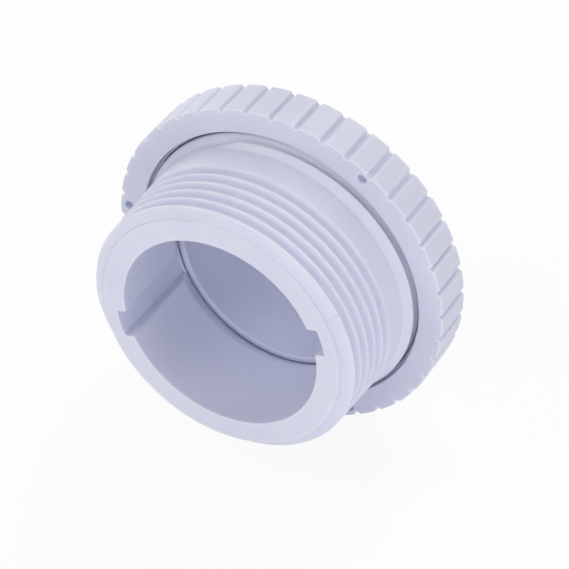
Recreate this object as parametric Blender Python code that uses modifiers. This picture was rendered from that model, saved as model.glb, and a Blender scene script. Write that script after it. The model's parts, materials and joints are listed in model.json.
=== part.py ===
"""Directional water inlet fitting: a pipe-threaded body, a hollow ball nozzle and the knurled ring that
clamps the ball into the body. The fitting's axis is level. Its threaded mouth faces +Y and the nozzle -Y.
The origin is the centre of the mouth. Every piece is turned about the fitting's axis from a profile of
(radius, distance from the mouth)."""

import math

import bmesh
import bpy

MM = 0.001

# Threaded body: tapered pipe thread of nominal size 1 1/2 inch, then a neck, then the ring's thread
PIPE_THREAD_D = 48.05 * MM
PIPE_THREAD_TAPER = 1 / 16
PIPE_THREAD_LENGTH = 12.8 * MM
MOUTH_WALL = 5.95 * MM
MOUTH_CHAMFER = 1.85 * MM
MOUTH_LEAD = 1.4 * MM
NECK_LENGTH = 4.5 * MM
RING_THREAD_DEPTH = 1.05 * MM
RING_THREAD_FLANK = 1.3 * MM
SOCKET_WALL = 3.65 * MM
SOCKET_PAST_BALL = 1.42 * MM
SEAT_STEP = 1.5 * MM
BORE_FLARE = 2.5 * MM

# Two keyways for the tool that screws the body into the wall
KEY_WIDTH = 4.95 * MM
KEY_DEPTH = 1.75 * MM
KEY_CLOCK = math.radians(-17.6)

# Ball nozzle and the seats that hold it
BALL_D = 41.0 * MM
BALL_RIM_WALL = 0.92 * MM
NOZZLE_D = 19.0 * MM
NOZZLE_FACE_D = 26.0 * MM
THROAT_LENGTH = 2.2 * MM
SEAT_EDGE_ANGLE = math.radians(69.0)
LIP_ANGLE = math.radians(63.0)

# Knurled ring
RING_WALL = 4.8 * MM
RING_DRAFT = 0.2 * MM
RING_RIM_WIDTH = 8.0 * MM
RING_STEP_WIDTH = 2.7 * MM
RING_STEP_RISE = 0.9 * MM
RING_DOME_BULGE = 0.4 * MM
LIP_THICKNESS = 0.9 * MM
RELIEF_DEPTH = 0.35 * MM
RELIEF_LENGTH = 1.2 * MM
RING_SETBACK = 2.3 * MM
GROOVE_COUNT = 40
GROOVE_RADIUS = 0.65 * MM
GROOVE_CLOCK = math.radians(6.1)
PIN_HOLE_COUNT = 3
PIN_HOLE_D = 1.7 * MM
PIN_HOLE_DEPTH = 1.3 * MM
PIN_HOLE_INSET = 1.7 * MM
PIN_HOLE_CLOCK = math.radians(2.1)

# Fits and finish
RUNNING_GAP = 0.3 * MM
SHOULDER_GAP = 0.5 * MM
EDGE = 0.35 * MM
CUT_MARGIN = 1.0 * MM
SEAM_MERGE = 0.01 * MM
TURN_STEPS = 72
RING_STEPS = 80
ARC_POINTS = 7
GROOVE_SIDES = 8
HOLE_SIDES = 10
SHARP_ANGLE = math.radians(35)

# Places along the axis, from the mouth
PIPE_R = PIPE_THREAD_D / 2
NECK_R = PIPE_R + PIPE_THREAD_LENGTH * PIPE_THREAD_TAPER / 2
NECK_END = PIPE_THREAD_LENGTH + NECK_LENGTH
MOUTH_R = PIPE_R - MOUTH_WALL
BORE_LENGTH = NECK_END + SEAT_STEP

# The ball and its two seats share one centre
BALL_R = BALL_D / 2
SEAT_R = BALL_R + RUNNING_GAP
BALL_CENTRE = BORE_LENGTH + SEAT_R * math.cos(SEAT_EDGE_ANGLE)
BODY_END = BALL_CENTRE + SOCKET_PAST_BALL

# The ring screws over the body and stops short of it, so that it clamps the ball alone
RING_THREAD_R = max(SEAT_R + SOCKET_WALL, NECK_R) + RING_THREAD_DEPTH
RING_BORE_R = RING_THREAD_R + RUNNING_GAP
RING_R = RING_BORE_R + RING_WALL
RING_BACK = NECK_END + RING_SETBACK
RING_RIM_END = RING_BACK + RING_RIM_WIDTH
RING_SHOULDER = BODY_END + SHOULDER_GAP
LIP_R = SEAT_R * math.sin(LIP_ANGLE)
LIP_BACK = BALL_CENTRE + SEAT_R * math.cos(LIP_ANGLE)
LIP_FRONT = LIP_BACK + LIP_THICKNESS


def clear_scene():
    for item in list(bpy.data.objects):
        bpy.data.objects.remove(item, do_unlink=True)


def new_collection(name):
    group = bpy.data.collections.new(name)
    bpy.context.scene.collection.children.link(group)
    return group


def plastic(name, colour, roughness):
    finish = bpy.data.materials.new(name)
    finish.use_nodes = True
    shader = finish.node_tree.nodes["Principled BSDF"]
    shader.inputs["Base Color"].default_value = (*colour, 1.0)
    shader.inputs["Roughness"].default_value = roughness
    shader.inputs["Metallic"].default_value = 0.0
    return finish


def sphere_reach(radius, centre, place):
    """Radius about the axis of a sphere on the axis, in the plane at this place."""
    return math.sqrt(radius ** 2 - (place - centre) ** 2)


def sphere_arc(radius, centre, start, end):
    """Points of a sphere on the axis from one place to another, evenly spaced in angle."""
    first = math.acos((start - centre) / radius)
    last = math.acos((end - centre) / radius)
    points = []
    for index in range(ARC_POINTS + 1):
        angle = first + (last - first) * index / ARC_POINTS
        points.append((radius * math.sin(angle), centre + radius * math.cos(angle)))
    return points


def bulged_line(start, end, bulge):
    """Points between two profile points, bowed outwards by the bulge at mid length."""
    along_r = end[0] - start[0]
    along_z = end[1] - start[1]
    length = math.hypot(along_r, along_z)
    points = []
    for index in range(ARC_POINTS + 1):
        share = index / ARC_POINTS
        lift = 4 * bulge * share * (1 - share) / length
        points.append((start[0] + along_r * share - along_z * lift, start[1] + along_z * share + along_r * lift))
    return points


def turned(name, profile, base, steps, finish, group, axis_frame):
    """Turn a closed profile about the axis. The object's origin is on the axis at the base place."""
    mesh = bpy.data.meshes.new(name)
    corners = [(radius, 0.0, place - base) for radius, place in profile]
    edges = [(index, (index + 1) % len(corners)) for index in range(len(corners))]
    mesh.from_pydata(corners, edges, [])
    mesh.materials.append(finish)
    piece = bpy.data.objects.new(name, mesh)
    group.objects.link(piece)
    piece.parent = axis_frame
    piece.location = (0.0, 0.0, base)
    screw = piece.modifiers.new("turn", "SCREW")
    screw.axis = "Z"
    screw.steps = steps
    screw.render_steps = steps
    screw.use_merge_vertices = True
    screw.merge_threshold = SEAM_MERGE
    screw.use_smooth_shade = True
    return piece


def cutter_object(name, shape, group, axis_frame):
    mesh = bpy.data.meshes.new(name)
    shape.to_mesh(mesh)
    shape.free()
    tool = bpy.data.objects.new(name, mesh)
    group.objects.link(tool)
    tool.parent = axis_frame
    tool.hide_render = True
    tool.display_type = "WIRE"
    return tool


def rod_cutter(name, count, clock, circle_r, rod_r, sides, start, end, group, axis_frame):
    """Rods along the axis, evenly spaced on a circle."""
    shape = bmesh.new()
    for index in range(count):
        angle = clock + 2 * math.pi * index / count
        made = bmesh.ops.create_cone(shape, cap_ends=True, segments=sides, radius1=rod_r, radius2=rod_r,
                                     depth=end - start)
        place = (circle_r * math.cos(angle), circle_r * math.sin(angle), (start + end) / 2)
        bmesh.ops.translate(shape, vec=place, verts=made["verts"])
    return cutter_object(name, shape, group, axis_frame)


def key_cutter(group, axis_frame):
    """One bar across the whole mouth that cuts both keyways to the same depth."""
    shape = bmesh.new()
    bmesh.ops.create_cube(shape, size=1.0)
    span = 2 * (MOUTH_R + KEY_DEPTH)
    bmesh.ops.scale(shape, vec=(span, KEY_WIDTH, BORE_LENGTH + CUT_MARGIN), verts=shape.verts)
    bmesh.ops.translate(shape, vec=(0.0, 0.0, (BORE_LENGTH - CUT_MARGIN) / 2), verts=shape.verts)
    tool = cutter_object("key_cutter", shape, group, axis_frame)
    tool.rotation_euler = (0.0, 0.0, KEY_CLOCK)
    return tool


def cut(piece, tool):
    modifier = piece.modifiers.new(tool.name, "BOOLEAN")
    modifier.operation = "DIFFERENCE"
    modifier.solver = "EXACT"
    modifier.object = tool


def smooth_round_faces(piece):
    """Keep the evaluated mesh, smooth on its round faces and sharp at its edges."""
    depsgraph = bpy.context.evaluated_depsgraph_get()
    mesh = bpy.data.meshes.new_from_object(piece.evaluated_get(depsgraph))
    mesh.name = piece.name
    piece.modifiers.clear()
    piece.data = mesh
    mesh.shade_smooth()
    mesh.set_sharp_from_angle(angle=SHARP_ANGLE)


def make_body(group, cutters, axis_frame):
    outside = [
        (RING_THREAD_R - RING_THREAD_DEPTH, BODY_END),
        (RING_THREAD_R, BODY_END - RING_THREAD_FLANK),
        (RING_THREAD_R, NECK_END + RING_THREAD_FLANK),
        (NECK_R, NECK_END),
        (NECK_R, PIPE_THREAD_LENGTH),
        (PIPE_R + MOUTH_LEAD * PIPE_THREAD_TAPER / 2, MOUTH_LEAD),
        (PIPE_R - MOUTH_CHAMFER, 0.0),
    ]
    bore = [
        (MOUTH_R + EDGE, 0.0),
        (MOUTH_R, EDGE),
        (MOUTH_R, BORE_LENGTH - BORE_FLARE),
    ]
    seat = sphere_arc(SEAT_R, BALL_CENTRE, BORE_LENGTH, BALL_CENTRE)
    front = [(SEAT_R, BODY_END - EDGE), (SEAT_R + EDGE, BODY_END)]
    finish = plastic("body_plastic", (0.74, 0.76, 0.84), 0.42)
    piece = turned("threaded_body", outside + bore + seat + front, 0.0, TURN_STEPS, finish, group, axis_frame)
    cut(piece, key_cutter(cutters, axis_frame))
    return piece


def make_ring(group, cutters, axis_frame):
    rim_front = RING_R - RING_DRAFT
    step = (rim_front - RING_STEP_WIDTH, RING_RIM_END + RING_STEP_RISE)
    dome = bulged_line((LIP_R + LIP_THICKNESS, LIP_FRONT), step, RING_DOME_BULGE)
    outside = [
        (rim_front - EDGE, RING_RIM_END + EDGE),
        (rim_front, RING_RIM_END),
        (RING_R, RING_BACK + EDGE),
        (RING_R - EDGE, RING_BACK),
    ]
    relief_r = RING_BORE_R + RELIEF_DEPTH
    inside = [
        (relief_r, RING_BACK),
        (relief_r, RING_BACK + RELIEF_LENGTH),
        (RING_BORE_R, RING_BACK + RELIEF_LENGTH + RELIEF_DEPTH),
        (RING_BORE_R, RING_SHOULDER),
    ]
    seat = sphere_arc(SEAT_R, BALL_CENTRE, RING_SHOULDER, LIP_BACK)
    lip = [(LIP_R, LIP_FRONT - EDGE)]
    finish = plastic("ring_plastic", (0.72, 0.73, 0.82), 0.45)
    profile = dome + outside + inside + seat + lip
    piece = turned("locking_ring", profile, RING_BACK, RING_STEPS, finish, group, axis_frame)
    groove_tool = rod_cutter("groove_cutter", GROOVE_COUNT, GROOVE_CLOCK, RING_R, GROOVE_RADIUS, GROOVE_SIDES,
                             RING_BACK - CUT_MARGIN, RING_RIM_END + CUT_MARGIN, cutters, axis_frame)
    pin_circle = RING_R - PIN_HOLE_INSET
    pin_tool = rod_cutter("pin_hole_cutter", PIN_HOLE_COUNT, PIN_HOLE_CLOCK, pin_circle, PIN_HOLE_D / 2,
                          HOLE_SIDES, RING_BACK - CUT_MARGIN, RING_BACK + PIN_HOLE_DEPTH, cutters, axis_frame)
    cut(piece, groove_tool)
    cut(piece, pin_tool)
    return piece


def make_ball(group, axis_frame):
    # The rim lies level with the edge of the body's seat
    rim_place = BORE_LENGTH
    rim_r = sphere_reach(BALL_R, BALL_CENTRE, rim_place)
    inner_rim_r = rim_r - BALL_RIM_WALL
    face_r = NOZZLE_FACE_D / 2
    face_place = BALL_CENTRE + math.sqrt(BALL_R ** 2 - face_r ** 2)
    throat_r = NOZZLE_D / 2
    throat_place = face_place - THROAT_LENGTH
    # The cavity is a sphere on the axis through the rim's inner edge and the throat's inner end
    squares = throat_r ** 2 + throat_place ** 2 - inner_rim_r ** 2 - rim_place ** 2
    cavity_centre = squares / (2 * (throat_place - rim_place))
    cavity_r = math.hypot(inner_rim_r, rim_place - cavity_centre)
    outside = sphere_arc(BALL_R, BALL_CENTRE, face_place, rim_place)
    cavity = sphere_arc(cavity_r, cavity_centre, rim_place, throat_place)
    throat = [(throat_r, face_place - EDGE), (throat_r + EDGE, face_place)]
    finish = plastic("eyeball_plastic", (0.75, 0.76, 0.84), 0.4)
    return turned("eyeball", outside + cavity + throat, BALL_CENTRE, TURN_STEPS, finish, group, axis_frame)


def main():
    clear_scene()
    group = new_collection("directional_inlet_fitting")
    cutters = new_collection("cutters")
    axis_frame = bpy.data.objects.new("fitting_axis", None)
    group.objects.link(axis_frame)
    axis_frame.rotation_euler = (math.pi / 2, 0.0, 0.0)
    pieces = [
        make_body(group, cutters, axis_frame),
        make_ring(group, cutters, axis_frame),
        make_ball(group, axis_frame),
    ]
    bpy.context.view_layer.update()
    for piece in pieces:
        smooth_round_faces(piece)


main()
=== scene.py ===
# %% [markdown]
# # A swivelling water inlet, seen from its threaded end
#
# The real object is a white plastic fitting that screws into a pipe socket in a wall. It has three
# moulded pieces: a threaded body, a knurled ring that screws onto the body, and a hollow ball that the
# ring clamps, so that the jet of water can be aimed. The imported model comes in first, because it fixes
# every place and size. Each piece below is then made again with the detail that the solids leave out.

# %% Load the fixed frame
import json
import math

import bmesh
import bpy
import numpy as np
from mathutils import Euler, Matrix, Vector

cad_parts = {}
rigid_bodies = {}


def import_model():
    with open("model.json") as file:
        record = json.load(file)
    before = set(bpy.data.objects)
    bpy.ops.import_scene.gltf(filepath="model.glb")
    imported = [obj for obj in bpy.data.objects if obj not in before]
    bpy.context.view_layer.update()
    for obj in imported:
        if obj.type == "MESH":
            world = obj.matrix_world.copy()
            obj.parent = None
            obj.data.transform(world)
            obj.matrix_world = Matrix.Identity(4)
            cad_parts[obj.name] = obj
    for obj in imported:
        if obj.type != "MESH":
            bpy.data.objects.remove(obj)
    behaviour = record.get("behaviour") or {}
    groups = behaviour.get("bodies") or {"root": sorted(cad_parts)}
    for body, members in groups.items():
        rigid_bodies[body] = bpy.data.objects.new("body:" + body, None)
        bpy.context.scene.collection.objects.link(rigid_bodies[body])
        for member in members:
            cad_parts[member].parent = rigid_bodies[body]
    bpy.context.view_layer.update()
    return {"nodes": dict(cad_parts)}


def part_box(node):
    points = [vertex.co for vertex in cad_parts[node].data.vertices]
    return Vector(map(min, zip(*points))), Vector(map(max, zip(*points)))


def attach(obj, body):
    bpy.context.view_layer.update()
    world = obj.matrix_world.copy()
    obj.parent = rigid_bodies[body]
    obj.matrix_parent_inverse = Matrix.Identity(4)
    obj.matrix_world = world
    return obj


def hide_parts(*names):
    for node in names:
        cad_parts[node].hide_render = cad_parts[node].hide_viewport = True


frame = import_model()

print("nodes in the frame:", sorted(frame["nodes"]))

# %% [markdown]
# ## One way of measuring
#
# All three pieces share one axis, so every point is easiest to give as a radius, an angle round the axis
# and a depth from the threaded mouth. One helper turns those three numbers into a place in the scene. The
# numbers are in millimetres, as a maker would read them from calipers, and the scene is in metres.

# %% Points round the axis
MM = 0.001


def round_the_axis(radius, angle, depth):
    """Places at these radii, angles and depths from the mouth, as an array of points in metres."""
    radius, angle, depth = np.broadcast_arrays(radius, angle, depth)
    return np.stack([radius * np.cos(angle), -depth, radius * np.sin(angle)], axis=-1) * MM


ring_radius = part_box("locking_ring")[1].z / MM
print("ring radius from the frame, mm:", round(ring_radius, 2))

# %% [markdown]
# ## A skin woven from rows
#
# A turned shape could come from the Screw modifier, and a thread from cutting a helix out of it. A cut
# helix leaves long thin triangles and ragged ends, though. Here each piece is woven instead: closed rows
# of points, one after the other along the outline, joined into quads like the hoops of a basket. A thread
# only needs one more idea. Its rows climb by one pitch in each turn, so at the end of a turn a row runs
# into the row that lies one pitch further on. The list called carry says which row that is.

# %% Weave rows into a closed mesh
def weave(name, rows, carry=None):
    """Joins closed rows of points, and the last row to the first, into one skin without a border."""
    points = np.stack(rows)
    count, columns = points.shape[:2]
    index = np.arange(count * columns).reshape(count, columns)
    onward = np.arange(count) if carry is None else np.asarray(carry)
    beside = np.concatenate([index[:, 1:], index[onward, :1]], axis=1)
    quads = np.stack([index, beside, np.roll(beside, -1, 0), np.roll(index, -1, 0)], axis=-1)
    faces = [list(dict.fromkeys(quad)) for quad in quads.reshape(-1, 4).tolist()]
    mesh = bpy.data.meshes.new(name)
    mesh.from_pydata(points.reshape(-1, 3).tolist(), [], [face for face in faces if len(face) > 2])
    return mesh


# %% [markdown]
# ## Closing a skin, and finding its edges
#
# Thin edges of white plastic catch the light and look paler than flat faces, and the finish paints that
# highlight into their colour. Blender's own Pointiness could mark them, but it changes with the spacing of
# the points. Here each point gets its true bend instead, which is the fold of the edges that meet there,
# shared out over the area around it. It is kept with the mesh, and the finish reads it later to place the
# painted highlight.

# %% Measure the bend of a skin
FOLD_SHARE = 1 / 4


def bend_of(skin):
    """How strongly the skin bends outwards at each point, per millimetre: its mean curvature."""
    fold, area = np.zeros(len(skin.verts)), np.zeros(len(skin.verts))
    for edge in skin.edges:
        ends = [corner.index for corner in edge.verts]
        fold[ends] += FOLD_SHARE * edge.calc_face_angle_signed(0) * edge.calc_length()
    for face in skin.faces:
        corners = [corner.index for corner in face.verts]
        area[corners] += face.calc_area() / len(corners)
    return fold / area * MM


print("share of an edge's fold that each of its ends gets:", FOLD_SHARE)

# %% Close and shade a skin
MERGE = 0.0012 * MM
SHARP_ANGLE = math.radians(38)


def finish_skin(mesh):
    """Merges points that share a place, turns all faces outward, marks crisp edges and keeps the bend."""
    skin = bmesh.new()
    skin.from_mesh(mesh)
    bmesh.ops.remove_doubles(skin, verts=skin.verts, dist=MERGE)
    bmesh.ops.delete(skin, geom=[edge for edge in skin.edges if edge.is_wire], context="EDGES")
    bmesh.ops.recalc_face_normals(skin, faces=skin.faces)
    for face in skin.faces:
        face.smooth = True
    for edge in skin.edges:
        edge.smooth = not (edge.is_manifold and edge.calc_face_angle(0) > SHARP_ANGLE)
    open_edges = sum(not edge.is_manifold for edge in skin.edges)
    skin.verts.index_update()
    bend = bend_of(skin)
    skin.to_mesh(mesh)
    skin.free()
    # The bend is kept for the finish, which paints a paler highlight where it is high.
    kept = mesh.attributes.get("bend") or mesh.attributes.new("bend", "FLOAT", "POINT")
    kept.data.foreach_set("value", bend)
    print(mesh.name, "faces:", len(mesh.polygons), "open edges:", open_edges)


print("edges stay crisp above, degrees:", round(math.degrees(SHARP_ANGLE)))


# %% Put a piece into the scene
def show_piece(name, mesh):
    """Puts a finished mesh into the scene, with normals that keep flat faces flat beside roundings."""
    piece = bpy.data.objects.new(name, mesh)
    bpy.context.scene.collection.objects.link(piece)
    weighted = piece.modifiers.new("even_normals", "WEIGHTED_NORMAL")
    weighted.keep_sharp = True
    return piece


# %% [markdown]
# ## Outlines with rounded corners
#
# No moulded edge is quite sharp. A Bevel modifier would round them all alike, but here some corners are
# crisp and others soft, so each corner of an outline carries its own radius. The helper replaces a corner
# by a short arc between the two places where the arc meets the straight parts.

# %% Round the corners of an outline
ARC_STEPS = 4


def soften(corners, steps=ARC_STEPS):
    """Turns (radius, depth, rounding) corners into a list of (radius, depth) points."""
    path = []
    for i, (radius, depth, rounding) in enumerate(corners):
        here = np.array([radius, depth], float)
        if rounding == 0 or i in (0, len(corners) - 1):
            path.append(here)
            continue
        back = np.array(corners[i - 1][:2]) - here
        ahead = np.array(corners[i + 1][:2]) - here
        back, ahead = back / np.linalg.norm(back), ahead / np.linalg.norm(ahead)
        half = math.acos(np.clip(back @ ahead, -1, 1)) / 2
        middle = here + (back + ahead) / np.linalg.norm(back + ahead) * rounding / math.sin(half)
        first, last = here + back * rounding / math.tan(half), here + ahead * rounding / math.tan(half)
        spread = math.pi - 2 * half
        for step in range(steps + 1):
            share = step / steps
            near, far = math.sin((1 - share) * spread), math.sin(share * spread)
            path.append(middle + ((first - middle) * near + (last - middle) * far) / math.sin(spread))
    return path


def sphere_path(radius, centre, start_depth, end_depth, steps):
    """Points on a ball or a ball seat between two depths, evenly spaced by angle."""
    first = math.acos((start_depth - centre) / radius)
    last = math.acos((end_depth - centre) / radius)
    return [np.array([radius * math.sin(a), centre + radius * math.cos(a)])
            for a in np.linspace(first, last, steps + 1)]


def quarter_round(size):
    """A rounded edge of this size, as (depth, inset) points from the wall up to the face."""
    turns = np.linspace(0, math.pi / 2, ARC_STEPS + 1)
    return [(size * (1 - math.sin(a)), size * (1 - math.cos(a))) for a in turns]


def end_at(point):
    """An outline's end corner, which meets another outline at this point."""
    return (*point, 0)


print("points in one rounded corner:", ARC_STEPS + 1)

# %% [markdown]
# ## The body's columns and its keyed bore
#
# The bore is straight and opens in a short flare just before the ball. Two shallow keyways run along it
# for the lugs of a tool. They could be cut with a Boolean, but weaving them in keeps their soft corners.
# Half of a keyway is drawn first: wall of the bore, rounded corner, side, fillet, floor. Its angles then
# become columns of the whole body, so that no face has to twist between the keyway and the mouth's face.

# %% Outline of half a keyway
MOUTH_R, KEY_FLOOR_R, KEY_HALF_WIDTH = 18.075, 19.84, 4.95 / 2
KEY_CORNER, KEY_CORNER_INSIDE, KEY_FILLET = 0.20, 0.62, 0.24
KEY_ARC_POINTS = 4
KEY_ZONE = math.radians(12)


def keyway_side(bore, floor, half_width, corner, fillet):
    """Radii and angles from the bore wall to the middle of the keyway's floor."""
    outer = math.asin((half_width + corner) / (bore + corner))
    inner = math.asin((half_width - fillet) / (floor - fillet))
    corner_at = (bore + corner) * np.array([math.cos(outer), math.sin(outer)])
    fillet_at = (floor - fillet) * np.array([math.cos(inner), math.sin(inner)])
    turns = np.linspace(0, 1, KEY_ARC_POINTS)
    convex = math.pi + outer + turns * (math.pi / 2 - outer)
    concave = math.pi / 2 + turns * (inner - math.pi / 2)
    xy = np.concatenate([
        corner_at + corner * np.stack([np.cos(convex), np.sin(convex)], axis=1),
        fillet_at + fillet * np.stack([np.cos(concave), np.sin(concave)], axis=1)])
    wall, bottom = [KEY_ZONE, (KEY_ZONE + outer) / 2], [inner * 2 / 3, inner / 3, 0]
    radii = np.concatenate([[bore] * len(wall), np.hypot(*xy.T), [floor] * len(bottom)])
    return radii, np.concatenate([wall, np.arctan2(xy[:, 1], xy[:, 0]), bottom])


_, key_angles = keyway_side(MOUTH_R, KEY_FLOOR_R, KEY_HALF_WIDTH, KEY_CORNER, KEY_FILLET)
print("half a keyway, degrees:", [round(math.degrees(a), 2) for a in key_angles])

# %% Columns of the body
THREAD_START_ANGLE = math.radians(-60)
KEY_MIDDLES = [math.radians(-17.6), math.radians(162.4)]
COLUMN_STEP = math.radians(1.5)
KEY_HALF_STEPS = len(key_angles) - 1


def even_columns(start, end):
    """Evenly spaced angles from start up to, and without, end."""
    return np.linspace(start, end, round((end - start) / COLUMN_STEP), endpoint=False)


body_angles, cursor, key_columns = [], THREAD_START_ANGLE, []
for key_middle in KEY_MIDDLES:
    body_angles += [even_columns(cursor, key_middle - KEY_ZONE), key_middle - key_angles[:-1]]
    key_columns.append(sum(map(len, body_angles)))
    body_angles.append(key_middle + key_angles[:0:-1])
    cursor = key_middle + KEY_ZONE
body_angles.append(even_columns(cursor, THREAD_START_ANGLE + 2 * math.pi))
body_angles = np.concatenate(body_angles)
print("columns of the body:", len(body_angles), "keyways at columns", key_columns)

# %% Rows of the keyed bore
BORE_STRAIGHT, BORE_LENGTH, FLARE_R = 16.3, 18.8, 19.418
BORE_DEPTHS, BORE_RADII = [0, BORE_STRAIGHT, BORE_LENGTH], [MOUTH_R, MOUTH_R, FLARE_R]
KEY_SOFT_FROM, KEY_SOFT_LENGTH = 0.4, 3.5
KEY_CORNER_LIMIT, KEY_FILLET_LIMIT = 0.36, 0.4


def bore_row(depth, grow=0.0):
    """One row of the bore at this depth, with its outline grown into the wall by grow."""
    bore = np.interp(depth, BORE_DEPTHS, BORE_RADII)
    radii, angles = np.full(len(body_angles), bore + grow), body_angles.copy()
    step = KEY_FLOOR_R - bore
    softer = (KEY_CORNER_INSIDE - KEY_CORNER) * np.clip((depth - KEY_SOFT_FROM) / KEY_SOFT_LENGTH, 0, 1)
    corner = min(KEY_CORNER + softer, KEY_CORNER_LIMIT * step)
    fillet = min(KEY_FILLET, KEY_FILLET_LIMIT * step)
    side_radii, side_angles = keyway_side(bore + grow, KEY_FLOOR_R + grow, KEY_HALF_WIDTH + grow,
                                          corner - grow, fillet + grow)
    for column, key_middle in zip(key_columns, KEY_MIDDLES):
        for away in range(-KEY_HALF_STEPS, KEY_HALF_STEPS + 1):
            radii[column + away] = side_radii[KEY_HALF_STEPS - abs(away)]
            angles[column + away] = key_middle + np.sign(away) * side_angles[KEY_HALF_STEPS - abs(away)]
    return round_the_axis(radii, angles, depth)


print("keyway depth at the mouth and at its end, mm:", [round(KEY_FLOOR_R - r, 2) for r in BORE_RADII[1:]])

# %% [markdown]
# ## The tapered pipe thread
#
# The outside of the mouth carries a pipe thread, one groove that winds five times round a slight cone.
# Its crest is narrow and flat, and its root is wide and a little rounded. A cylinder with a bump texture
# would look right only from far away, so the groove is real. For each column the exact places where it
# starts, bottoms out and ends are worked out, and the crests stay crisp all the way round.
#
# At the mouth the groove is open, so the first crest has a start: it grows out of the rim at the lower
# left, a lead-in cone cuts it back there, and after one turn a plain strip lies in front of it. The rim
# stands back slightly where there is no crest. At the neck the groove fades out instead of stopping.

# %% Shape of the pipe thread
PITCH = 2.2087
MOUTH_FACE_R = 22.18
LEAD_END = 1.0
CREST_R, CREST_TAPER, NECK_R = 24.025, 1 / 32, 24.425
GROOVE_AT, GROOVE_HALF_WIDTH = 1.57, 0.98
FLANK = math.sqrt(3)
FIRST_TURN_AT, FIRST_TURN_GROWTH = 0.03, 0.135
RIM_TRIM = 0.25
TRIM_MIDDLE_DEGREES, TRIM_HALF_DEGREES, TRIM_EASE_DEGREES = 277, 27, 23


def ease(share):
    """A smooth step from 0 to 1."""
    share = np.clip(share, 0, 1)
    return share * share * (3 - 2 * share)


def crest(depth):
    """Radius of the crests at this depth: a slight cone, nowhere wider than the neck."""
    return np.minimum(CREST_R + CREST_TAPER * depth, NECK_R)


LEAD_SLOPE = (crest(LEAD_END) - MOUTH_FACE_R) / LEAD_END


def bare_body(depth):
    """The body's outside before the thread is cut: the lead-in cone, then the taper."""
    return np.minimum(crest(depth), MOUTH_FACE_R + LEAD_SLOPE * depth)


def grown(turns):
    """How much of its full height the ridge beside a groove has after this many windings."""
    return ease((turns - FIRST_TURN_AT) / FIRST_TURN_GROWTH)


winding = (body_angles - THREAD_START_ANGLE) / (2 * math.pi)
from_trim = np.abs((np.degrees(body_angles) - TRIM_MIDDLE_DEGREES + 180) % 360 - 180)
mouth_rim = MOUTH_FACE_R - RIM_TRIM * (1 - ease((from_trim - TRIM_HALF_DEGREES) / TRIM_EASE_DEGREES))
first_crest = GROOVE_AT + PITCH * (winding - 1) + GROOVE_HALF_WIDTH


def lead_in(depth):
    """The slope from the mouth's rim up to the first crest, for every column."""
    slope = np.minimum(bare_body(depth), crest(depth) - FLANK * (first_crest - depth))
    return mouth_rim + grown(winding) * np.clip(slope - mouth_rim, 0, None)


print("rim of the mouth, mm:", round(mouth_rim.min(), 2), "to", round(mouth_rim.max(), 2))

# %% Rows of the pipe thread
GROOVE_DEPTH = 0.95
EDGE_BACK, EDGE_DOWN, FLANK_NEAR, FLANK_FAR = 0.05, 0.085, 0.22, 0.70
ROOT_SHAPE = [(0.50, 0.82), (0.40, 0.91), (0.20, 0.945), (0.0, GROOVE_DEPTH)]
OPEN_ROOT_BACK = 0.6
MOST_LOST = 0.75 * GROOVE_DEPTH
THREAD_FROM, THREAD_TO = 0.25, 14.0
FADE_IN, FADE_OUT_FROM, FADE_OUT = 0.08, 4.80, 0.25
GROOVES = range(-1, 6)


def groove_rows(turns, last_depth):
    """One groove's rows of (radius, depth); turns counts windings, and the groove opens at -1."""
    full = ease((turns + 1) / FADE_IN) * (1 - ease((turns - FADE_OUT_FROM) / FADE_OUT))
    before, after = grown(turns), grown(turns + 1)
    middle = GROOVE_AT + PITCH * turns
    rear, front = middle - GROOVE_HALF_WIDTH * full, middle + GROOVE_HALF_WIDTH * full
    cut = (MOUTH_FACE_R - CREST_R - FLANK * rear) / (CREST_TAPER - FLANK - LEAD_SLOPE)
    lost = np.clip((cut - rear) * FLANK, 0, MOST_LOST * full)
    lip = rear + lost / FLANK - EDGE_BACK * full
    rows = [(bare_body, np.clip(LEAD_END, last_depth, lip), 0, before), (bare_body, lip, 0, before)]
    for down in (lost + EDGE_DOWN * full, lost + FLANK_NEAR * full, FLANK_FAR * full):
        rows.append((crest, rear + down / FLANK, down, before))
    root = middle - OPEN_ROOT_BACK * (1 - before) * full
    rows += [(crest, root - aside * full, down * full, before) for aside, down in ROOT_SHAPE]
    rows += [(crest, root + aside * full, down * full, before) for aside, down in ROOT_SHAPE[-2::-1]]
    for down in (FLANK_FAR * full, FLANK_NEAR * full, EDGE_DOWN * full):
        rows.append((crest, front - down / FLANK, down, after))
    rows.append((crest, front + EDGE_BACK * full, 0, after))
    shaped, place = [], last_depth
    for surface, depth, down, height in rows:
        place = np.clip(depth, place, THREAD_TO)
        whole = np.minimum(surface(place) - down, bare_body(place))
        radius = mouth_rim + height * (whole - mouth_rim)
        shaped.append((np.where(place <= THREAD_FROM, lead_in(THREAD_FROM), radius), place))
    return shaped


pipe_thread, reached = [], np.full(len(body_angles), THREAD_FROM)
for groove in GROOVES:
    pipe_thread += groove_rows(winding + groove, reached)
    reached = pipe_thread[-1][1]
GROOVE_ROWS = len(pipe_thread) // len(GROOVES)
print("pipe thread:", len(GROOVES) - 2, "grooves of", GROOVE_ROWS, "rows, pitch", PITCH, "mm")

# %% [markdown]
# ## The ring's thread on the body
#
# The ring screws onto a second thread, a ridge with a long back flank and a narrow crest. It starts
# bluntly on top of the neck, which is easy to see from this side, and only its first turn shows before the
# ring's back face. Its flank starts from the neck in a thin line there and in a soft hollow one turn
# later. The numbers in the tables below follow that change along the ridge.

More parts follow.
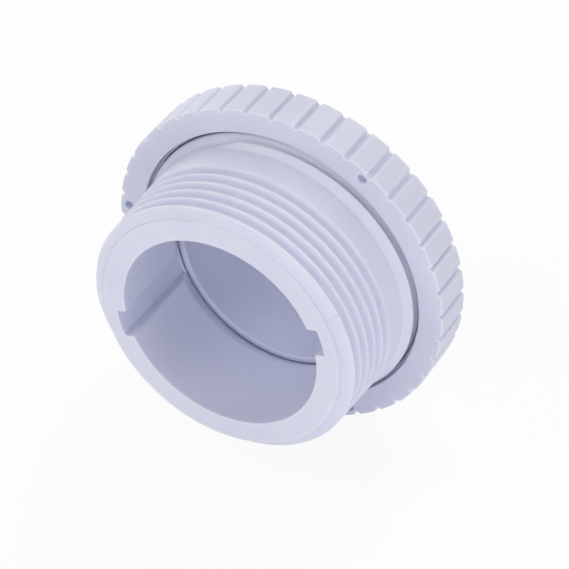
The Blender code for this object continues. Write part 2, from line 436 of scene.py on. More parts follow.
# %% Shape of the ring thread
RIDGE_PITCH = 2.2
RIDGE_TOP_R = 25.5
RIDGE_AT, RIDGE_AT_TURN = 18.58, 0.5
RIDGE_FROM, RIDGE_TO = 16.9, 27.0
RIDGES = range(-1, 6)
RIDGE_RAMP_START, RIDGE_RAMP, RIDGE_RAMP_SHARE, RIDGE_CLIMB = -0.158, 0.036, 0.66, 0.19
RIDGE_END_START, RIDGE_END = 3.25, 0.12
FLANK_TABLE = ([-0.16, 0.25, 0.80, 0.87], [0.93, 1.83, 1.75, 1.30])
HOLLOW_TABLE = ([-0.16, 0.25, 0.50, 0.82, 0.87], [0.06, 0.08, 0.60, 0.60, 0.12])
NICK_TABLE = ([-0.16, 0.25, 0.40], [0.09, 0.07, 0.0])
FOOT_ROWS = [(0, 0), (1 / 3, 1), (2 / 3, 1), (1, 0)]
FLANK_ROWS = [0.86, 0.96]
RIDGE_BACK = [(0.05, 1.0), (0.24, 1.0), (0.32, 0.90), (0.62, 0.14), (0.76, 0.0)]


def ridge_rows(turns):
    """One ridge's rows of (radius, depth); turns counts windings from the body's first column."""
    along = turns - RIDGE_AT_TURN
    past_start = along - RIDGE_RAMP_START
    blunt, climb = ease(past_start / RIDGE_RAMP), ease(past_start / RIDGE_CLIMB)
    high = blunt * (RIDGE_RAMP_SHARE + (1 - RIDGE_RAMP_SHARE) * climb)
    high *= 1 - ease((along - RIDGE_END_START) / RIDGE_END)
    rise = (RIDGE_TOP_R - NECK_R) * high
    top = RIDGE_AT + RIDGE_PITCH * along
    flank = np.interp(along, *FLANK_TABLE)
    hollow = np.interp(along, *HOLLOW_TABLE)
    foot = top - flank
    length = np.hypot(flank, rise)
    rows = []
    for share, dip in FOOT_ROWS:
        lean = share * share * hollow / length
        nick = dip * high * np.interp(along, *NICK_TABLE)
        rows.append((foot - (1 - share) ** 2 * hollow + lean * flank, lean * rise - nick))
    rows += [(foot + share * flank, share * rise) for share in FLANK_ROWS]
    rows += [(top + past, share * rise) for past, share in RIDGE_BACK]
    return [(NECK_R + up, np.where(past_start > 0, depth, RIDGE_FROM)) for depth, up in rows]


ring_thread, reached = [], np.full(len(body_angles), RIDGE_FROM)
for ridge in RIDGES:
    for radius, depth in ridge_rows(winding + ridge):
        reached = np.clip(np.maximum(depth, reached), RIDGE_FROM, RIDGE_TO)
        ring_thread.append((radius, reached))
RIDGE_ROWS = len(ring_thread) // len(RIDGES)
print("ring thread:", RIDGE_ROWS, "rows in a ridge, crest radius", RIDGE_TOP_R, "mm")

# %% [markdown]
# ## The threaded body in one skin
#
# Now the rows are put in order along the body's outline: over the mouth's face, across a fine witness
# line that the mould leaves at the start of the lead-in, along both threads, round the front edge, down
# the ball's seat and back through the bore.

# %% Outlines of the mouth, the front and the seat
SEAT_R, BALL_CENTRE, BODY_PAST_BALL = 20.8, 26.2541, 1.42
BODY_END = BALL_CENTRE + BODY_PAST_BALL
WITNESS_HALF, WITNESS_DEPTH = 0.10, 0.18
FACE_BANDS = [0.9, 0.2, WITNESS_HALF]
LEAD_DEPTHS = [0.7 * WITNESS_HALF, 0.2, THREAD_FROM]
FRONT_CHAMFER, FRONT_ROUND = 0.5, 0.15
SEAT_ROUND, SEAT_LEAD_R, SEAT_LEAD = 0.2, 0.05, 0.5
SEAT_START, SEAT_STEPS = 0.7, 18

witness = WITNESS_DEPTH * np.clip((lead_in(WITNESS_DEPTH) - mouth_rim) / WITNESS_DEPTH, 0, 1)
mouth_face = [(mouth_rim - band, 0) for band in FACE_BANDS]
mouth_face += [(mouth_rim - WITNESS_HALF / 2, witness), (mouth_rim, witness)]
mouth_face += [(lead_in(depth), depth) for depth in LEAD_DEPTHS]
seat_at_end = math.sqrt(SEAT_R**2 - (BODY_END - BALL_CENTRE) ** 2)
front = soften([(NECK_R, RIDGE_TO, 0), (NECK_R, BODY_END - FRONT_CHAMFER, FRONT_ROUND),
                (NECK_R - FRONT_CHAMFER, BODY_END, FRONT_ROUND), (seat_at_end, BODY_END, SEAT_ROUND),
                (seat_at_end + SEAT_LEAD_R, BODY_END - SEAT_LEAD, 0)])
seat = sphere_path(SEAT_R, BALL_CENTRE, BODY_END - SEAT_START, BORE_LENGTH, SEAT_STEPS)
print("points on the front edge and the seat:", len(front), len(seat))

# %% Weave the threaded body
NECK_DEPTHS = [THREAD_TO, 14.15, 14.5, 15.0, 15.6, 16.2, 16.7, RIDGE_FROM]
FLARE_ROWS = [BORE_LENGTH, 18.6, 18.2, 17.7, 17.2, 16.8, 16.45, BORE_STRAIGHT]
STRAIGHT_ROWS = [16.1, 15, 13, 11, 9, 7, 5, 3, 1.5, 0.6, 0.3]
MOUTH_EDGE = 0.15


def plain_rows(path, angles):
    """One row of points for each (radius, depth) of an outline."""
    return [round_the_axis(radius, angles, depth) for radius, depth in path]


body_rows = plain_rows(mouth_face, body_angles)
carry = list(range(len(body_rows)))
for thread, per_turn in ((pipe_thread, GROOVE_ROWS), (ring_thread, RIDGE_ROWS)):
    first, end = len(body_rows), len(body_rows) + len(thread)
    body_rows += plain_rows(thread, body_angles)
    carry += [min(row + per_turn, end) for row in range(first, end)]
    if thread is pipe_thread:
        body_rows += plain_rows([(NECK_R, depth) for depth in NECK_DEPTHS], body_angles)
        carry += range(end, end + len(NECK_DEPTHS))
inner_rows = plain_rows(front + seat[1:], body_angles)
inner_rows += [bore_row(depth) for depth in FLARE_ROWS + STRAIGHT_ROWS]
inner_rows += [bore_row(depth, grow) for depth, grow in quarter_round(MOUTH_EDGE)]
carry += range(len(body_rows), len(body_rows) + len(inner_rows))
body_mesh = weave("threaded_body_skin", body_rows + inner_rows, carry)
finish_skin(body_mesh)

# %% [markdown]
# ## Which edges of the body get a painted highlight
#
# The bend follows the shape alone, and the finish paints a highlight where it is high. In the picture,
# though, the pipe thread's crests are only a little pale, the crest of the ring's thread is the palest edge,
# and the witness line is not pale at all. So the kept bend is weakened, set to one high value, or set to
# nothing there, to place that painted highlight.

# %% Even out the body's painted edge highlights
# How much painted highlight the pipe thread's crests and the ring thread's crest get.
CREST_HIGHLIGHT, RIDGE_HIGHLIGHT = 0.4, 3.0
WITNESS_ZONE, WITNESS_ZONE_R = 3 * WITNESS_DEPTH, MOUTH_FACE_R - 0.5
RIDGE_CREST_R = RIDGE_TOP_R - 0.05

# Painted highlight: the bend set here decides how much paler each edge of the body is painted.
for corner, kept in zip(body_mesh.vertices, body_mesh.attributes["bend"].data):
    depth, radius = -corner.co.y, math.hypot(corner.co.x, corner.co.z)
    if depth < WITNESS_ZONE * MM and radius > WITNESS_ZONE_R * MM:
        kept.value = 0
    elif depth < THREAD_TO * MM:
        kept.value *= CREST_HIGHLIGHT
    elif radius > RIDGE_CREST_R * MM:
        kept.value = RIDGE_HIGHLIGHT
threaded_body = show_piece("moulded_body", body_mesh)
print("share of the bend kept on the pipe thread:", CREST_HIGHLIGHT, "and bend of the ridge's crest:", RIDGE_HIGHLIGHT)

# %% [markdown]
# ## The locking ring's grip
#
# A hand turns the ring by its rim, which has forty grooves between flat lands. One groove is drawn once
# as an outline, with its soft corners and its flat floor, and the outline is repeated round the ring. The
# rim's edges are rounded by moving that outline inwards along its own normals while it nears the face, so
# that the rounding runs down into each groove, as a mould gives it.

# %% Outline of the grip
GRIP_COUNT = 40
GRIP_ANGLE = math.radians(6.1)
RIM_R, RIM_FRONT_R = 30.6, 30.4
GRIP_DEPTH = 0.66
GRIP_TOP_HALF, GRIP_FLOOR_HALF = 0.64, 0.20
GRIP_LIP, GRIP_FILLET, GRIP_ARC_STEPS = 0.38, 0.20, 2
LAND_SHARE = 0.45
grip_pitch = 2 * math.pi / GRIP_COUNT


def grip_half():
    """Half a groove and half a land, as (along the rim, below the land) points from land to floor."""
    corners = [(grip_pitch * RIM_R / 2, 0, 0), (GRIP_TOP_HALF, 0, GRIP_LIP),
               (GRIP_FLOOR_HALF, GRIP_DEPTH, GRIP_FILLET), (0, GRIP_DEPTH, 0)]
    path = soften(corners, GRIP_ARC_STEPS)
    on_land = path[0] * LAND_SHARE + path[1] * (1 - LAND_SHARE)
    return np.array([path[0], on_land] + path[1:])


half_grip = grip_half()
one_grip = np.concatenate([half_grip * [-1, 1], half_grip[-2:0:-1]])
along = np.concatenate([one_grip[:, 0] / RIM_R + grip_pitch * turn for turn in range(GRIP_COUNT)])
ring_angles = along + GRIP_ANGLE
rim_radii = np.tile(RIM_R - one_grip[:, 1], GRIP_COUNT)
outline = np.stack([rim_radii * np.cos(ring_angles), rim_radii * np.sin(ring_angles)], axis=1)
tangent = np.roll(outline, -1, 0) - np.roll(outline, 1, 0)
tangent /= np.linalg.norm(tangent, axis=1, keepdims=True)
inward = np.stack([-tangent[:, 1], tangent[:, 0]], axis=1)
print("columns of the ring:", len(ring_angles), "in", GRIP_COUNT, "grooves")

# %% Rows of the rim
RING_BACK, RIM_END = 19.6, 27.6
RIM_EDGE = 0.16
RIM_DEPTHS = [20.1, 22.0, 25.2, 27.1]
RIM_DRAFT = RIM_R - RIM_FRONT_R


def rim_row(depth, inset, draft=0.0):
    """The grip's outline moved inwards by inset and drawn in by draft."""
    moved = outline * (1 - draft / RIM_R) + inward * inset
    return np.stack([moved[:, 0], np.full(len(moved), -depth), moved[:, 1]], axis=1) * MM


rim = [rim_row(RING_BACK + rise, inset) for rise, inset in quarter_round(RIM_EDGE)[::-1]]
rim += [rim_row(depth, 0, RIM_DRAFT * (depth - RING_BACK) / (RIM_END - RING_BACK)) for depth in RIM_DEPTHS]
rim += [rim_row(RIM_END - rise, inset, RIM_DRAFT) for rise, inset in quarter_round(RIM_EDGE)]
print("rows of the rim:", len(rim))

# %% [markdown]
# ## The ring's front, lip and inner thread
#
# In front of the rim the ring steps in and rises as a low dome to the lip that holds the ball. This side
# faces away in the picture, so its outline follows other fittings of the kind. Inside, the ring has the
# seat for the ball, a shoulder, and a thread with more room than the body's ridge needs, because here the
# ring turns without moving along the axis.

# %% Outline of the dome
STEP_R, STEP_TOP, STEP_SHELF = 27.7, 28.5, 1.4
STEP_FILLET, STEP_EDGE = 0.3, 0.25
LIP_ANGLE, LIP_THICKNESS = math.radians(63), 0.9
DOME_BULGE, DOME_FROM, DOME_TO, DOME_POINTS = 0.4, 0.08, 0.94, 14

lip_r, lip_back = SEAT_R * math.sin(LIP_ANGLE), BALL_CENTRE + SEAT_R * math.cos(LIP_ANGLE)
lip_outer_r, lip_front = lip_r + LIP_THICKNESS, lip_back + LIP_THICKNESS
foot, brow = np.array([STEP_R, STEP_TOP]), np.array([lip_outer_r, lip_front])
chord = brow - foot
aside = np.array([chord[1], -chord[0]]) / np.linalg.norm(chord)
dome = [foot + chord * t + aside * 4 * DOME_BULGE * t * (1 - t)
        for t in np.linspace(DOME_FROM, DOME_TO, DOME_POINTS)]
step = soften([(RIM_FRONT_R - STEP_SHELF, RIM_END, 0), (STEP_R, RIM_END, STEP_FILLET),
               (STEP_R, STEP_TOP, STEP_EDGE), end_at(dome[0])])
print("points on the step and the dome:", len(step) + len(dome))

# %% Outline of the lip, the seat and the shoulder
LIP_OUTER_EDGE, LIP_INNER_EDGE, LIP_BACK_EDGE = 0.35, 0.25, 0.15
LIP_TO_SEAT_R, LIP_TO_SEAT = 0.35, 0.6
SEAT_BEHIND_LIP, SEAT_PAST_SHOULDER, RING_SEAT_STEPS = 0.75, 0.5, 12
SHOULDER_GAP, RING_BORE_R = 0.5, 25.8
SHOULDER_EDGE, SHOULDER_FILLET, SHOULDER_LENGTH = 0.15, 0.3, 0.6

shoulder_at = BODY_END + SHOULDER_GAP
lip = soften([end_at(dome[-1]), (lip_outer_r, lip_front, LIP_OUTER_EDGE), (lip_r, lip_front, LIP_INNER_EDGE),
              (lip_r, lip_back, LIP_BACK_EDGE), (lip_r + LIP_TO_SEAT_R, lip_back - LIP_TO_SEAT, 0)])
ring_seat = sphere_path(SEAT_R, BALL_CENTRE, lip_back - SEAT_BEHIND_LIP, shoulder_at + SEAT_PAST_SHOULDER,
                        RING_SEAT_STEPS)
seat_foot = math.sqrt(SEAT_R**2 - (shoulder_at - BALL_CENTRE) ** 2)
shoulder = soften([end_at(ring_seat[-1]), (seat_foot, shoulder_at, SHOULDER_EDGE),
                   (RING_BORE_R, shoulder_at, SHOULDER_FILLET),
                   (RING_BORE_R, shoulder_at - SHOULDER_LENGTH, 0)])
print("points on the lip, the seat and the shoulder:", len(lip), len(ring_seat), len(shoulder))

# %% Thread inside the ring
INNER_FROM, INNER_TO = 21.3, 27.4
INNER_DEPTH, INNER_MARGIN, INNER_FADE = 0.7, 0.2, 0.9
INNER_GROOVE = [(-0.80, 0.0), (-0.74, 0.06), (-0.34, 0.92), (-0.24, 1.0), (0.24, 1.0), (0.34, 0.92),
                (0.74, 0.06), (0.80, 0.0)]
INNER_TURNS = range(-1, 4)
ring_winding = np.arange(len(ring_angles)) / len(ring_angles)


def inner_rows_of(turns):
    """One winding of the groove inside the ring, faded out near both ends of the bore."""
    middle = INNER_FROM + RIDGE_PITCH * turns
    fade_in = ease((middle - INNER_FROM - INNER_MARGIN) / INNER_FADE)
    full = fade_in * ease((INNER_TO - INNER_MARGIN - middle) / INNER_FADE)
    return [(RING_BORE_R + INNER_DEPTH * down * full,
             np.clip(middle + past * full, INNER_FROM, INNER_TO)) for past, down in INNER_GROOVE]


inner_thread = [row for turn in INNER_TURNS for row in inner_rows_of(ring_winding + turn)]
print("rows of the ring's inner thread:", len(inner_thread))

# %% [markdown]
# ## The ring in one skin
#
# The woven list runs over the rim and the dome, down the seat, and back along the bore. The thread inside
# climbs the other way along that list, so its rows are laid in reverse and carried backwards. Just inside
# the back face the bore is wider, as far as a small lip. That relief makes the dark gap round the neck.

# %% Weave the ring
RELIEF_R, RELIEF_END, RELIEF_FILLET = 26.20, 21.0, 0.1
RELIEF_LIP_R, RELIEF_LIP, RELIEF_LIP_EDGE = 25.66, 0.25, 0.03
BACK_EDGE, BACK_RADII = 0.16, [28.0, 29.2]

relief = soften([(RING_BORE_R, INNER_FROM, 0), (RING_BORE_R, RELIEF_END + RELIEF_LIP, RELIEF_LIP_EDGE),
                 (RELIEF_LIP_R, RELIEF_END + RELIEF_LIP, RELIEF_LIP_EDGE),
                 (RELIEF_LIP_R, RELIEF_END, RELIEF_FILLET), (RELIEF_R, RELIEF_END, RELIEF_FILLET),
                 (RELIEF_R, RING_BACK, BACK_EDGE), *[(radius, RING_BACK, 0) for radius in BACK_RADII]])
front_rows = plain_rows(step + dome[1:-1] + lip + ring_seat[1:-1] + shoulder, ring_angles)
ring_rows = rim + front_rows + plain_rows([(RING_BORE_R, INNER_TO)], ring_angles)
ring_carry = list(range(len(ring_rows)))
first = len(ring_rows)
ring_rows += plain_rows(inner_thread[::-1], ring_angles)
ring_carry += [max(row - len(INNER_GROOVE), first - 1) for row in range(first, len(ring_rows))]
last = len(ring_rows)
ring_rows += plain_rows(relief, ring_angles)
ring_carry += range(last, len(ring_rows))
ring_mesh = weave("locking_ring_skin", ring_rows, ring_carry)
finish_skin(ring_mesh)
locking_ring = show_piece("knurled_ring", ring_mesh)

# %% [markdown]
# ## Three pin holes
#
# The back of the ring has three small blind holes, where ejector pins or a pin wrench would reach. They
# cross no thread, so here a Boolean is the simple way: one slender cutter with a flared end, so that the
# hole gets a soft edge, placed three times and taken away from the ring.

# %% Shape the cutter
PIN_R, PIN_AT_R, PIN_DEPTH = 0.86, 28.9, 1.25
PIN_ANGLES = [math.radians(a) for a in (2.1, 122.1, 242.1)]
PIN_SIDES = 28
PIN_OUTLINE = [(0, -0.6), (1.5, -0.6), (1.06, -0.12), (0.95, 0.0), (0.89, 0.10), (PIN_R, 0.22),
               (PIN_R - 0.03, PIN_DEPTH - 0.15), (PIN_R - 0.18, PIN_DEPTH), (0, PIN_DEPTH + 0.03)]

sides = np.linspace(0, 2 * math.pi, PIN_SIDES, endpoint=False)
pin_meshes = []
for pin_angle in PIN_ANGLES:
    centre = round_the_axis(PIN_AT_R, pin_angle, RING_BACK)
    pin_meshes.append(weave("pin", [round_the_axis(r, sides, d) + centre for r, d in PIN_OUTLINE]))
cutter_skin = bmesh.new()
for pin_mesh in pin_meshes:
    finish_skin(pin_mesh)
    cutter_skin.from_mesh(pin_mesh)
cutter_mesh = bpy.data.meshes.new("pin_cutter")
cutter_skin.to_mesh(cutter_mesh)
cutter_skin.free()
print("places of the pin holes, degrees:", [round(math.degrees(a), 1) for a in PIN_ANGLES])

# %% Cut the pin holes
cutter = bpy.data.objects.new("pin_cutter", cutter_mesh)
bpy.context.scene.collection.objects.link(cutter)
drill = locking_ring.modifiers.new("pin_holes", "BOOLEAN")
drill.operation, drill.solver, drill.object = "DIFFERENCE", "EXACT", cutter
locking_ring.modifiers.move(1, 0)
locking_ring.modifiers["even_normals"].show_viewport = False
bpy.context.view_layer.update()
worked_out = locking_ring.evaluated_get(bpy.context.evaluated_depsgraph_get())
drilled = bpy.data.meshes.new_from_object(worked_out)
locking_ring.modifiers.remove(drill)
locking_ring.modifiers["even_normals"].show_viewport = True
locking_ring.data = drilled
drilled.name = "locking_ring_drilled"
bpy.data.objects.remove(cutter)
finish_skin(drilled)

# %% [markdown]
# ## The hollow ball
#
# The ball is a shell with a wide opening at the back and the nozzle at the front. From the mouth only its
# rim and its smooth hollow show. It is a plain turned shape, so one rounded outline, woven round the axis,
# gives all of it. In the picture the dark line round the rim is uneven, so the ball leans about a degree and
# a half and hangs a tenth of a millimetre low in its clearance.

# %% Outline of the ball
BALL_R = 20.5
BALL_RIM, BALL_RIM_WALL = BORE_LENGTH, 1.08
RIM_INNER_EDGE, RIM_OUTER_EDGE = 0.12, 0.10
NOZZLE_R, NOZZLE_FACE_R, THROAT_LENGTH = 9.5, 13.0, 2.2
NOZZLE_OUTER_EDGE, NOZZLE_EDGE, THROAT_EDGE = 0.3, 0.45, 0.2
OUTSIDE_MARGIN, OUTSIDE_STEPS = 0.35, 34
THROAT_MARGIN, HOLLOW_MARGIN, HOLLOW_STEPS = 0.25, 0.4, 32

rim_r = math.sqrt(BALL_R**2 - (BALL_RIM - BALL_CENTRE) ** 2)
rim_inner_r = rim_r - BALL_RIM_WALL
nozzle_face = BALL_CENTRE + math.sqrt(BALL_R**2 - NOZZLE_FACE_R**2)
throat_back = nozzle_face - THROAT_LENGTH
squares = NOZZLE_R**2 + throat_back**2 - rim_inner_r**2 - BALL_RIM**2
hollow_centre = squares / (2 * (throat_back - BALL_RIM))
hollow_r = math.hypot(rim_inner_r, BALL_RIM - hollow_centre)
outside = sphere_path(BALL_R, BALL_CENTRE, BALL_RIM + OUTSIDE_MARGIN, nozzle_face - OUTSIDE_MARGIN,
                      OUTSIDE_STEPS)
hollow = sphere_path(hollow_r, hollow_centre, throat_back - THROAT_MARGIN, BALL_RIM + HOLLOW_MARGIN,
                     HOLLOW_STEPS)
nose = soften([end_at(outside[-1]), (NOZZLE_FACE_R, nozzle_face, NOZZLE_OUTER_EDGE),
               (NOZZLE_R, nozzle_face, NOZZLE_EDGE), (NOZZLE_R, throat_back, THROAT_EDGE), end_at(hollow[0])])
back_edge = soften([end_at(hollow[-1]), (rim_inner_r, BALL_RIM, RIM_INNER_EDGE),
                    (rim_r, BALL_RIM, RIM_OUTER_EDGE), end_at(outside[0])])
print("radius of the hollow, mm:", round(hollow_r, 2), "and of the rim:", round(rim_r, 2))

# %% Weave the ball and lean it
BALL_COLUMNS = 216
BALL_LEAN = (math.radians(0.4), 0, math.radians(-1.5))
BALL_SAG = Vector((0, 0, -0.10 * MM))

ball_angles = np.linspace(0, 2 * math.pi, BALL_COLUMNS, endpoint=False)
ball_path = outside[:-1] + nose + hollow[1:-1] + back_edge[:-1]
ball_mesh = weave("eyeball_skin", plain_rows(ball_path, ball_angles))
finish_skin(ball_mesh)
pivot = Vector(round_the_axis(0, 0, BALL_CENTRE))
lean = Euler(BALL_LEAN).to_matrix().to_4x4()
ball_mesh.transform(Matrix.Translation(pivot + BALL_SAG) @ lean @ Matrix.Translation(-pivot))
swivel_ball = show_piece("swivel_ball", ball_mesh)

# %% [markdown]
# ## Satin moulded plastic
#
# The plastic is a cool white with a soft sheen. Up close it isn't even: the colour drifts a little where
# the melt has flowed, the sheen varies, the skin has a very fine grain, and a few dark specks lie in it.
# The thin edges are painted paler, a painted highlight where they would catch the light. One function
# builds all of that, mostly from noise, so the three pieces share a recipe and differ in tint and sheen.
# The bump stays tiny, because the shape itself is in the mesh.

# %% Steps of a finish
def noise(tree, place, scale, detail):
    """An even cloud of grey at this scale."""
    node = tree.nodes.new("ShaderNodeTexNoise")
    node.inputs["Scale"].default_value = scale
    node.inputs["Detail"].default_value = detail
    tree.links.new(place, node.inputs["Vector"])
    return node.outputs["Fac"]


def ranged(tree, value, low, high, to_low, to_high):
    """Maps the values from low to high onto those from to_low to to_high."""
    node = tree.nodes.new("ShaderNodeMapRange")
    for socket, number in zip(node.inputs[1:5], (low, high, to_low, to_high)):
        socket.default_value = number
    tree.links.new(value, node.inputs[0])
    return node.outputs[0]


def mixed(tree, share, first, second):
    """Mixes two colours, each of them a tint or the result of an earlier step."""
    node = tree.nodes.new("ShaderNodeMix")
    node.data_type = "RGBA"
    tree.links.new(share, node.inputs["Factor"])
    for socket, colour in ((node.inputs[6], first), (node.inputs[7], second)):
        if isinstance(colour, tuple):
            socket.default_value = colour + (1,)
        else:
            tree.links.new(colour, socket)
    return node.outputs[2]


# %% Build the plastic
DRIFT_SCALE, DRIFT_DETAIL, DRIFT_LOW, DRIFT_HIGH = 90, 3, 0.35, 0.65
# Painted highlight: edges whose bend lies in this range are mixed up to this share towards a paler tint.
HIGHLIGHT_BEND_FROM, HIGHLIGHT_BEND_TO, HIGHLIGHT_SHARE = 0.9, 2.4, 0.35
SPECK_SCALE, SPECK_CORE, SPECK_REACH, SPECK_SHARE = 75, 0.010, 0.016, 0.45
SPECK_TINT = (0.16, 0.12, 0.12)
SHEEN_SCALE, SHEEN_DETAIL, SHEEN_LOW, SHEEN_HIGH, SHEEN_SWING = 420, 4, 0.3, 0.7, 0.06
SCATTER_WEIGHT, SCATTER_SCALE, SCATTER_RADIUS = 0.5, 1.2 * MM, (1.0, 0.95, 0.9)
SPECULAR_LEVEL = 0.3
GRAIN_SCALE, GRAIN_DETAIL, GRAIN_STRENGTH, GRAIN_HEIGHT = 5200, 2, 0.12, 0.02 * MM


def moulded_plastic(name, tint, drift, highlight_tint, sheen):
    """A satin plastic with drifting colour, uneven sheen, fine grain, a painted highlight on edges and a few
    specks.
    """
    material = bpy.data.materials.new(name)
    material.use_nodes = True
    tree = material.node_tree
    nodes, links = tree.nodes, tree.links
    plastic = nodes["Principled BSDF"]
    place = nodes.new("ShaderNodeTexCoord").outputs["Object"]
    cloud = noise(tree, place, DRIFT_SCALE, DRIFT_DETAIL)
    colour = mixed(tree, ranged(tree, cloud, DRIFT_LOW, DRIFT_HIGH, 0, 1), tint, drift)
    # Painted highlight: sharply bent edges are mixed towards the paler highlight tint.
    bend = nodes.new("ShaderNodeAttribute")
    bend.attribute_name = "bend"
    painted_highlight = ranged(tree, bend.outputs["Fac"], HIGHLIGHT_BEND_FROM, HIGHLIGHT_BEND_TO, 0, HIGHLIGHT_SHARE)
    colour = mixed(tree, painted_highlight, colour, highlight_tint)
    specks = nodes.new("ShaderNodeTexVoronoi")
    specks.inputs["Scale"].default_value = SPECK_SCALE
    links.new(place, specks.inputs["Vector"])
    dark = ranged(tree, specks.outputs["Distance"], SPECK_CORE, SPECK_REACH, SPECK_SHARE, 0)
    links.new(mixed(tree, dark, colour, SPECK_TINT), plastic.inputs["Base Color"])
    cloud = noise(tree, place, SHEEN_SCALE, SHEEN_DETAIL)
    uneven = ranged(tree, cloud, SHEEN_LOW, SHEEN_HIGH, sheen - SHEEN_SWING, sheen + SHEEN_SWING)
    links.new(uneven, plastic.inputs["Roughness"])
    plastic.inputs["Subsurface Weight"].default_value = SCATTER_WEIGHT
    plastic.inputs["Subsurface Scale"].default_value = SCATTER_SCALE
    plastic.inputs["Subsurface Radius"].default_value = SCATTER_RADIUS
    plastic.inputs["Specular IOR Level"].default_value = SPECULAR_LEVEL
    grain = nodes.new("ShaderNodeBump")
    grain.inputs["Strength"].default_value = GRAIN_STRENGTH
    grain.inputs["Distance"].default_value = GRAIN_HEIGHT
    links.new(noise(tree, place, GRAIN_SCALE, GRAIN_DETAIL), grain.inputs["Height"])
    links.new(grain.outputs["Normal"], plastic.inputs["Normal"])
    print(name, "nodes:", len(nodes))
    return material


# %% [markdown]
# ## Three tints, and what each piece rides on
#
# The ring is a shade deeper than the body. The ball has the same white, made a touch bluer as painted
# shade, because its hollow is lit only through the mouth. Each new piece then rides on the body of the
# frame that it belongs to, stands for its solid, and names the finish slot that it fills, so the joints
# move it as they move the solid.

# %% Paint and place the pieces
# The ball's tint is the plastic's white made a touch bluer, as painted shade for its dim hollow.
BODY_TINT, RING_TINT, BALL_TINT_AND_SHADE = (0.682, 0.704, 0.872), (0.652, 0.672, 0.826), (0.676, 0.702, 0.872)
# The paler colour painted on sharp edges as a highlight.
EDGE_HIGHLIGHT_TINT = (0.80, 0.825, 0.97)
DRIFT = (0.975, 0.972, 0.985)
BODY_SHEEN, RING_SHEEN, BALL_SHEEN = 0.42, 0.46, 0.40


def drifted(tint):
    """The same tint a shade deeper, for the slow drift of colour."""
    return tuple(part * change for part, change in zip(tint, DRIFT))


for piece, tint, sheen, body, node, slot in (
        (threaded_body, BODY_TINT, BODY_SHEEN, "fitting_body", "threaded_body", "body_plastic"),
        (locking_ring, RING_TINT, RING_SHEEN, "ring", "locking_ring", "ring_plastic"),
        (swivel_ball, BALL_TINT_AND_SHADE, BALL_SHEEN, "ball", "eyeball", "eyeball_plastic")):
    piece.data.materials.clear()
    piece.data.materials.append(moulded_plastic(slot + "_finish", tint, drifted(tint), EDGE_HIGHLIGHT_TINT, sheen))
    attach(piece, body)
    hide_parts(node)
print("pieces:", [piece.name for piece in (threaded_body, locking_ring, swivel_ball)])

# %% [markdown]
# ## A pale floor
#
# The picture shows the fitting on plain white. The floor is a wide, pale, diffuse sheet just under the
# rim. What the camera and the reflections see of it is mostly a plain white, by the Light Path node, and
# partly the lit sheet itself, so that the fitting's soft shadow stays on it. To all other rays it is an
# ordinary pale floor, so it adds no light to the object that a real sheet wouldn't.

# %% Tell direct views from other light
REFLECTED_VIEWS = ["Is Glossy Ray", "Is Transmission Ray"]


def seen_directly(nodes, links):
    """1 for camera, glossy and transmission rays, and 0 for the light that falls on other things."""
    path = nodes.new("ShaderNodeLightPath")
    total = path.outputs["Is Camera Ray"]
    for other in REFLECTED_VIEWS:
        either = nodes.new("ShaderNodeMath")
        either.operation = "MAXIMUM"
        links.new(total, either.inputs[0])
        links.new(path.outputs[other], either.inputs[1])
        total = either.outputs[0]
    return total


print("seen as white, besides the camera's own view:", REFLECTED_VIEWS)

# %% Lay the floor
FLOOR_HALF, FLOOR_DROP = 3.0, 0.02
FLOOR_CORNERS = [(-1, -1), (1, -1), (1, 1), (-1, 1)]

low = -ring_radius * MM - FLOOR_DROP * MM
floor_mesh = bpy.data.meshes.new("floor_sheet")
floor_points = [(x * FLOOR_HALF, y * FLOOR_HALF, low) for x, y in FLOOR_CORNERS]
floor_mesh.from_pydata(floor_points, [], [(0, 1, 2, 3)])
floor = bpy.data.objects.new("floor_sheet", floor_mesh)
bpy.context.scene.collection.objects.link(floor)
print("floor at height, mm:", round(low / MM, 2))

# %% Paint the floor
FLOOR_COLOUR, FLOOR_ROUGHNESS = (0.90, 0.91, 0.96, 1), 0.9
WHITE = (1, 1, 1, 1)
SHADOW_SHARE = 0.10

paper = bpy.data.materials.new("pale_floor")
paper.use_nodes = True
nodes, links = paper.node_tree.nodes, paper.node_tree.links
sheet = nodes["Principled BSDF"]
glow, blend = nodes.new("ShaderNodeEmission"), nodes.new("ShaderNodeMixShader")
sheet.inputs["Base Color"].default_value = FLOOR_COLOUR
sheet.inputs["Roughness"].default_value = FLOOR_ROUGHNESS
glow.inputs["Color"].default_value = WHITE
share = nodes.new("ShaderNodeMath")
share.operation = "MULTIPLY"
links.new(seen_directly(nodes, links), share.inputs[0])
share.inputs[1].default_value = 1 - SHADOW_SHARE
links.new(share.outputs[0], blend.inputs[0])
links.new(sheet.outputs[0], blend.inputs[1])
links.new(glow.outputs[0], blend.inputs[2])
links.new(blend.outputs[0], nodes["Material Output"].inputs["Surface"])
floor_mesh.materials.append(paper)
print("share of the lit floor in what the camera sees:", SHADOW_SHARE)

# %% [markdown]
# ## Soft light from all round
#
# The shades in the picture are very even, as in a tent of white cloth: recesses darken, but no lamp
# throws a hard edge. An even world gives part of that, and eight broad discs round the tent give the rest.
# Because light adds up, each disc could be tried alone first, and its power chosen for the surfaces that
# it reaches: the rim from behind, the top from the left, the bore from the front and the right. The level
# is plain, so a colour comes out about as it is written. All the light is slightly warm, and the discs in
# front of the mouth are a little warmer than those behind it. In the table of lamps each row has a name,
# the turn and the rise of the disc in degrees, its watts and its colour.

# %% Set the world
LIGHT_COLOUR = (1.0, 0.985, 0.925)
WARM_COLOUR, COOL_COLOUR = (1.0, 0.985, 0.885), (1.0, 0.985, 0.955)
WORLD_STRENGTH = 0.29

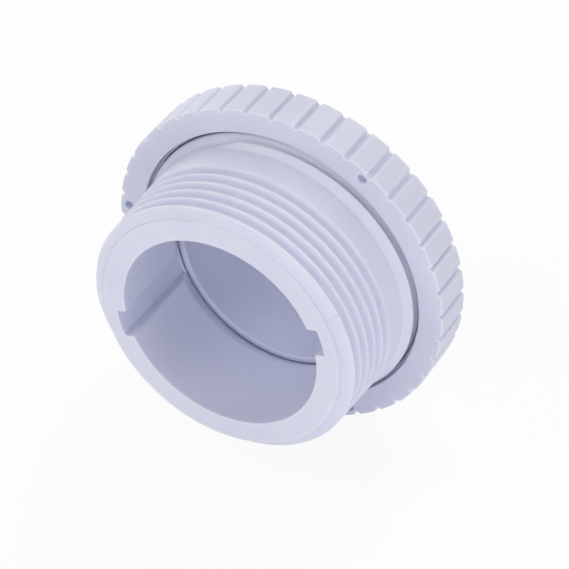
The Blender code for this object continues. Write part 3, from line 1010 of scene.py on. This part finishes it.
world = bpy.data.worlds.new("white_tent")
bpy.context.scene.world = world
world.use_nodes = True
nodes, links = world.node_tree.nodes, world.node_tree.links
cloth = nodes["Background"]
cloth.inputs["Color"].default_value = LIGHT_COLOUR + (1,)
cloth.inputs["Strength"].default_value = WORLD_STRENGTH
backdrop, pick = nodes.new("ShaderNodeBackground"), nodes.new("ShaderNodeMixShader")
backdrop.inputs["Color"].default_value = WHITE
backdrop.inputs["Strength"].default_value = 1.0
links.new(seen_directly(nodes, links), pick.inputs[0])
links.new(cloth.outputs[0], pick.inputs[1])
links.new(backdrop.outputs[0], pick.inputs[2])
links.new(pick.outputs[0], nodes["World Output"].inputs["Surface"])
print("world strength:", WORLD_STRENGTH)

# %% Set the lamps
LAMP_AWAY, LAMP_SIZE = 0.9, 0.5
LAMP_AIM = Vector((0, -0.015, 0))
LAMPS = [("behind", 270, 40, 1.9, COOL_COLOUR), ("above", 270, 68, 1.7, COOL_COLOUR),
         ("behind_left", 330, 12, 1.2, COOL_COLOUR), ("upper_left", 45, 40, 1.95, WARM_COLOUR),
         ("front", 90, 12, 1.0, WARM_COLOUR), ("front_above", 90, 40, 0.7, WARM_COLOUR),
         ("front_right", 132, 12, 1.5, WARM_COLOUR), ("right", 180, 12, 1.7, LIGHT_COLOUR)]

for lamp_name, lamp_turn, lamp_rise, power, colour in LAMPS:
    lamp = bpy.data.lights.new("tent_" + lamp_name, "AREA")
    lamp.shape, lamp.size, lamp.energy, lamp.color = "DISK", LAMP_SIZE, power, colour
    holder = bpy.data.objects.new("tent_" + lamp_name, lamp)
    lamp_turn, lamp_rise = math.radians(lamp_turn), math.radians(lamp_rise)
    away = Vector((math.cos(lamp_rise) * math.cos(lamp_turn), math.cos(lamp_rise) * math.sin(lamp_turn),
                   math.sin(lamp_rise)))
    holder.location = LAMP_AIM + away * LAMP_AWAY
    holder.rotation_mode = "QUATERNION"
    holder.rotation_quaternion = (-away).to_track_quat("-Z", "Y")
    bpy.context.scene.collection.objects.link(holder)
print("lamps:", [lamp[0] for lamp in LAMPS], "watts in all:", round(sum(lamp[3] for lamp in LAMPS), 2))

# %% [markdown]
# ## The camera
#
# The place of the camera was worked out from the circles in the picture: the mouth, the rim and the ring's
# edge are all round and share one axis, so their ellipses fix the viewing angle and the distance. The
# camera looks down at about forty degrees through a long lens, and the object sits a little off the middle.

# %% Set the camera
IMAGE_SIZE = 569
FOCAL_PIXELS = 4000
SENSOR = 36.0
AZIMUTH, ELEVATION = math.radians(209.66), math.radians(40.62)
ASIDE, ABOVE, AWAY = 10.641, 7.945, 648.94
CLIP_NEAR, CLIP_FAR = 0.01, 20

right = Vector((math.cos(AZIMUTH), math.sin(AZIMUTH), 0))
towards = Vector((math.sin(AZIMUTH) * math.cos(ELEVATION), -math.cos(AZIMUTH) * math.cos(ELEVATION),
                  math.sin(ELEVATION)))
upward = towards.cross(right)
lens = bpy.data.cameras.new("bench_camera")
lens.sensor_fit, lens.sensor_width = "HORIZONTAL", SENSOR
lens.lens = SENSOR * FOCAL_PIXELS / IMAGE_SIZE
lens.clip_start, lens.clip_end = CLIP_NEAR, CLIP_FAR
camera = bpy.data.objects.new("bench_camera", lens)
turn = Matrix((right, upward, towards)).transposed().to_4x4()
camera.matrix_world = Matrix.Translation((right * ASIDE + upward * ABOVE + towards * AWAY) * MM) @ turn
bpy.context.scene.collection.objects.link(camera)
bpy.context.scene.camera = camera
bpy.context.scene.view_settings.view_transform = "Standard"
print("lens, mm:", round(lens.lens, 2), "camera at", [round(x, 4) for x in camera.location])
